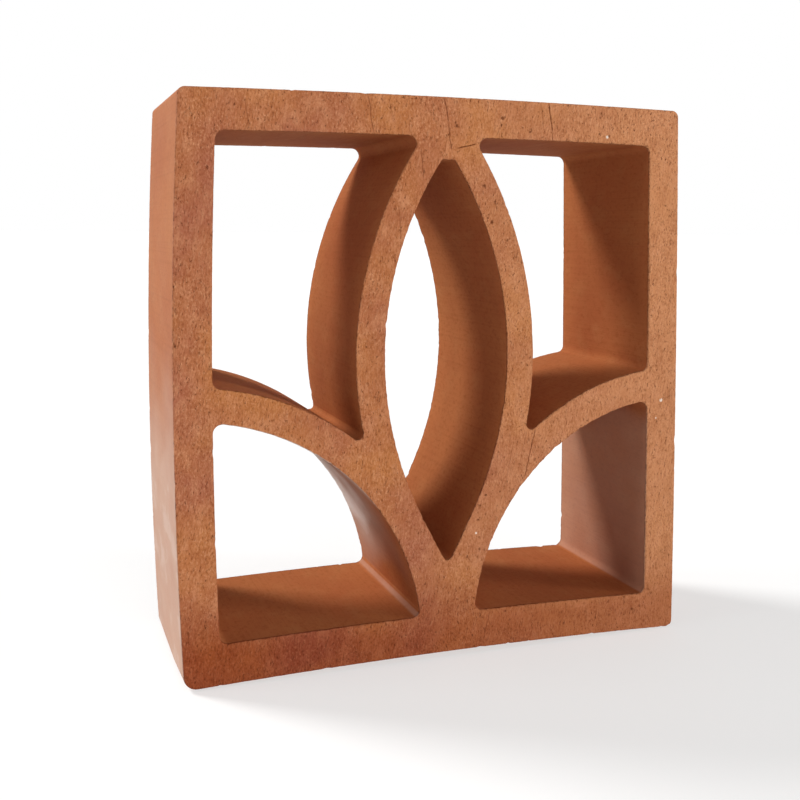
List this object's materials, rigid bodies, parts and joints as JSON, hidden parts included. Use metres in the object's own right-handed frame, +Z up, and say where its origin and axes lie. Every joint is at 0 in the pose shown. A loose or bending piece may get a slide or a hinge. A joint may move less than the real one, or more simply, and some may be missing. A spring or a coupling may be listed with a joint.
{
  "type": "terracotta breeze block",
  "caption": "Square pierced screen block of fired clay: an open frame with bowed webs forming an upright pointed leaf between quarter-round arches, for ventilated walls.",
  "frame": {"origin": "middle of the bottom face", "axes": "+Z up, X across the face, Y through the depth (the way the clay was extruded); the face at -Y is the front"},
  "size_m": [0.19, 0.065, 0.2],
  "materials": {
    "terracotta": "matte unglazed fired clay, smooth on the extruded faces and wire-cut on the front and back"
  },
  "bodies": {
    "root": {"breeze_block": "terracotta"}
  },
  "joints": []
}
